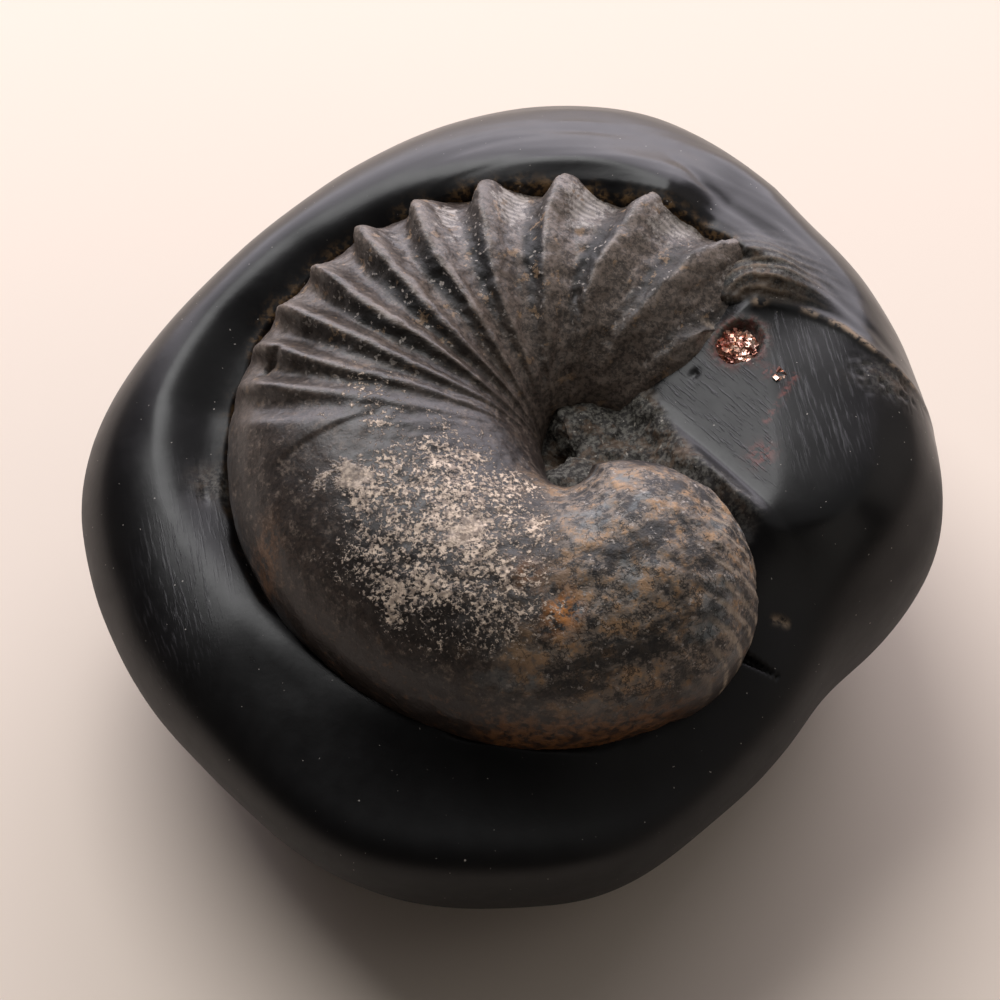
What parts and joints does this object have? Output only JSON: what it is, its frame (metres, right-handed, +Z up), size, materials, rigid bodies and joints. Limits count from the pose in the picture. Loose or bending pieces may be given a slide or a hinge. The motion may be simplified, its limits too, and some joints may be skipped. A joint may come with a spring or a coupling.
{
  "type": "shaligram ammonite",
  "caption": "Black river-worn nodule, opened on top round a chunky ribbed ammonite that is fused in its bowl, with a filed block beside it.",
  "frame": {"origin": "middle of the stone's box, on the surface that it rests on", "axes": "+Z up, through the fossil's coil; +Y towards the nodule's high back rim; +X towards the filed block"},
  "size_m": [0.1231, 0.1243, 0.0655],
  "materials": {
    "black_limestone": "river-worn, low sheen, brown and tan crust on the fossil"
  },
  "bodies": {
    "root": {"shaligram": "black_limestone"}
  },
  "joints": []
}
